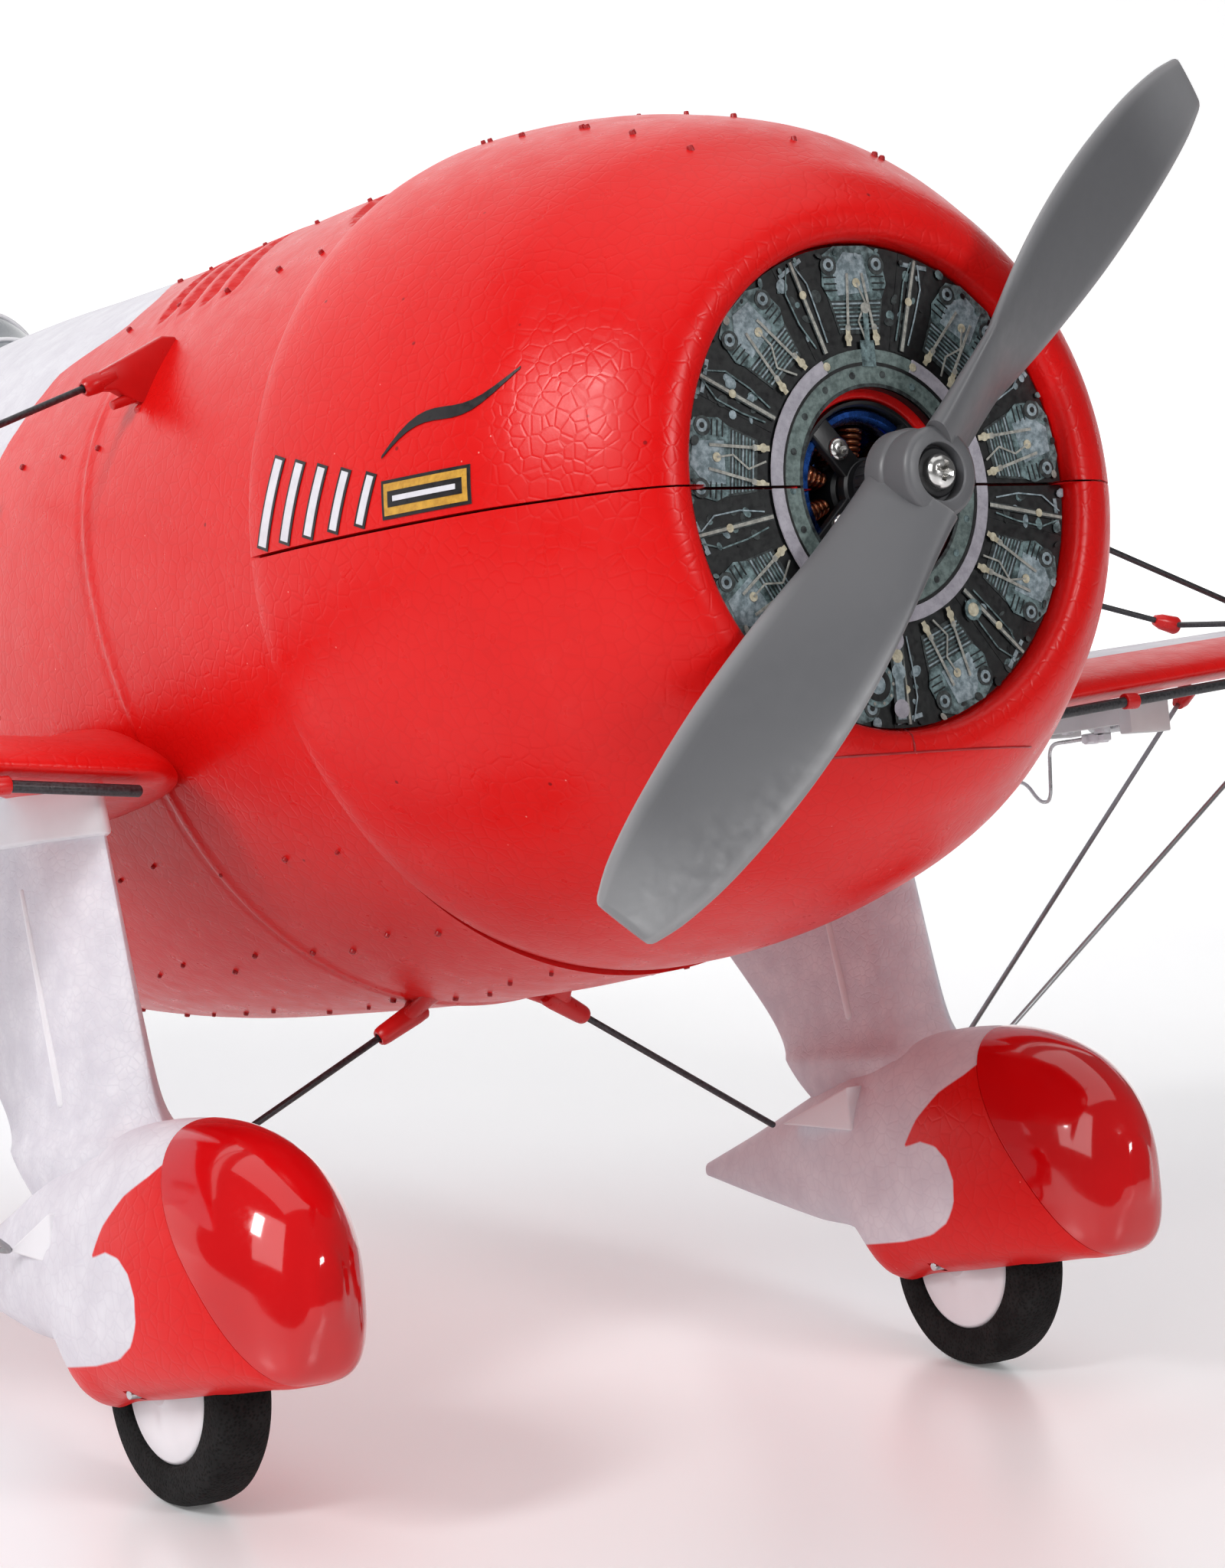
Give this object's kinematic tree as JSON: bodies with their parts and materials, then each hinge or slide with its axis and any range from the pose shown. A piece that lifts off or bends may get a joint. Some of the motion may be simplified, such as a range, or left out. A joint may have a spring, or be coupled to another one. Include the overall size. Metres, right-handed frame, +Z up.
{
  "type": "rc foam airplane",
  "caption": "Small radio-controlled foam racing aeroplane: barrel fuselage, low braced wing, spatted wheels, moving controls and a lift-off battery hatch.",
  "frame": {"origin": "on the floor, midway along the length of the aeroplane as it stands on its three wheels", "axes": "+X to the left wing tip, +Y towards the tail, +Z up; the thrust line points 12 degrees up and lies in the plane x = 0"},
  "size_m": [0.51, 0.3622, 0.171],
  "materials": {
    "red_foam": "semi-gloss painted expanded foam",
    "white_foam": "satin painted expanded foam",
    "red_plastic": "gloss moulded plastic",
    "grey_plastic": "satin moulded plastic",
    "white_plastic": "satin moulded plastic",
    "black_plastic": "satin moulded plastic",
    "black_foam": "fine cell foam rubber",
    "engine_print": "printed card with a dummy radial engine",
    "blue_metal": "blue anodised",
    "steel": "bright wire",
    "carbon": "pultruded carbon fibre",
    "canopy_plastic": "gloss smoked canopy",
    "battery_wrap": "shrink wrap",
    "circuit": "solder mask",
    "plywood": "thin plywood"
  },
  "bodies": {
    "airframe": {"aileron_servo_left": "white_plastic", "aileron_servo_right": "white_plastic", "axle_left": "steel", "axle_right": "steel", "battery": "battery_wrap", "belly_bracket_left": "red_plastic", "belly_bracket_right": "red_plastic", "belly_wire_left": "carbon", "belly_wire_right": "carbon", "canopy": "canopy_plastic", "elevator_servo": "white_plastic", "engine_face_lower": "engine_print", "equipment_tray": "plywood", "fin": "white_foam", "fuselage_shell": "red_foam", "gear_leg_left": "white_foam", "gear_leg_right": "white_foam", "lower_wire_left": "steel", "lower_wire_right": "steel", "motor_mount": "black_plastic", "motor_stator": "blue_metal", "pant_nose_left": "red_plastic", "pant_nose_right": "red_plastic", "receiver_board": "circuit", "rudder_servo": "white_plastic", "shoulder_bracket_left": "red_plastic", "shoulder_bracket_right": "red_plastic", "stabiliser": "white_foam", "upper_wire_left": "carbon", "upper_wire_right": "carbon", "wheel_pant_left": "white_foam", "wheel_pant_right": "white_foam", "wing_left": "red_foam", "wing_right": "red_foam", "wing_rod_left": "carbon", "wing_rod_right": "carbon"},
    "propeller": {"propeller": "grey_plastic", "prop_screw": "steel", "prop_adapter": "black_plastic", "motor_bell": "blue_metal"},
    "hatch": {"battery_hatch": "red_foam", "engine_face_upper": "engine_print"},
    "elevator": {"elevator": "white_foam", "elevator_horn": "white_plastic"},
    "elevator_rod": {"elevator_rod": "steel"},
    "rudder": {"rudder": "white_foam", "rudder_horn": "white_plastic", "tail_wire": "steel"},
    "rudder_rod": {"rudder_rod": "steel"},
    "tail_wheel": {"tail_wheel": "black_foam"},
    "wheel_left": {"tyre_left": "black_foam", "wheel_disc_left": "white_plastic"},
    "aileron_left": {"aileron_left": "red_foam", "aileron_horn_left": "white_plastic"},
    "aileron_rod_left": {"aileron_rod_left": "steel"},
    "wheel_right": {"tyre_right": "black_foam", "wheel_disc_right": "white_plastic"},
    "aileron_right": {"aileron_right": "red_foam", "aileron_horn_right": "white_plastic"},
    "aileron_rod_right": {"aileron_rod_right": "steel"}
  },
  "joints": [
    {"name": "propeller_spin", "type": "hinge", "parent": "airframe", "child": "propeller", "pos_m": [0, -0.17029, 0.12253], "axis": [0, -0.9781, 0.2079], "continuous": true},
    {"name": "hatch_lift", "type": "slide", "parent": "airframe", "child": "hatch", "axis": [0, 0.2079, 0.9781], "range_m": [0, 0.05]},
    {"name": "wheel_left_spin", "type": "hinge", "parent": "airframe", "child": "wheel_left", "pos_m": [0.061, -0.11517, 0.0139], "axis": [1, 0, 0], "continuous": true},
    {"name": "wheel_right_spin", "type": "hinge", "parent": "airframe", "child": "wheel_right", "pos_m": [-0.061, -0.11517, 0.0139], "axis": [1, 0, 0], "continuous": true},
    {"name": "aileron_left_hinge", "type": "hinge", "parent": "airframe", "child": "aileron_left", "pos_m": [0.105, -0.03519, 0.07713], "axis": [0.9891, -0.1006, 0.1075], "range_deg": [-20, 20]},
    {"name": "aileron_left_rod_slide", "type": "slide", "parent": "airframe", "child": "aileron_rod_left", "axis": [0, 0.9781, -0.2079], "range_m": [-0.0052, 0.0052]},
    {"name": "aileron_right_hinge", "type": "hinge", "parent": "airframe", "child": "aileron_right", "pos_m": [-0.105, -0.03519, 0.07713], "axis": [0.9891, 0.1006, -0.1075], "range_deg": [-20, 20]},
    {"name": "aileron_right_rod_slide", "type": "slide", "parent": "airframe", "child": "aileron_rod_right", "axis": [0, 0.9781, -0.2079], "range_m": [-0.0052, 0.0052]},
    {"name": "elevator_hinge", "type": "hinge", "parent": "airframe", "child": "elevator", "pos_m": [0, 0.12929, 0.06499], "axis": [1, 0, 0], "range_deg": [-20, 20]},
    {"name": "elevator_rod_slide", "type": "slide", "parent": "airframe", "child": "elevator_rod", "axis": [0, 0.9781, -0.2079], "range_m": [-0.0034, 0.0034]},
    {"name": "rudder_hinge", "type": "hinge", "parent": "airframe", "child": "rudder", "pos_m": [0, 0.14076, 0.05641], "axis": [0, 0.2079, 0.9781], "range_deg": [-25, 25]},
    {"name": "rudder_rod_slide", "type": "slide", "parent": "airframe", "child": "rudder_rod", "axis": [0, 0.9781, -0.2079], "range_m": [-0.0055, 0.0055]},
    {"name": "tail_wheel_spin", "type": "hinge", "parent": "rudder", "child": "tail_wheel", "pos_m": [0, 0.13823, 0.00604], "axis": [1, 0, 0], "continuous": true}
  ],
  "couplings": [
    {"joint": "aileron_left_rod_slide", "follows": "aileron_left_hinge", "m_per_rad": 0.014},
    {"joint": "aileron_right_rod_slide", "follows": "aileron_right_hinge", "m_per_rad": 0.014},
    {"joint": "elevator_rod_slide", "follows": "elevator_hinge", "m_per_rad": 0.009},
    {"joint": "rudder_rod_slide", "follows": "rudder_hinge", "m_per_rad": -0.012}
  ]
}
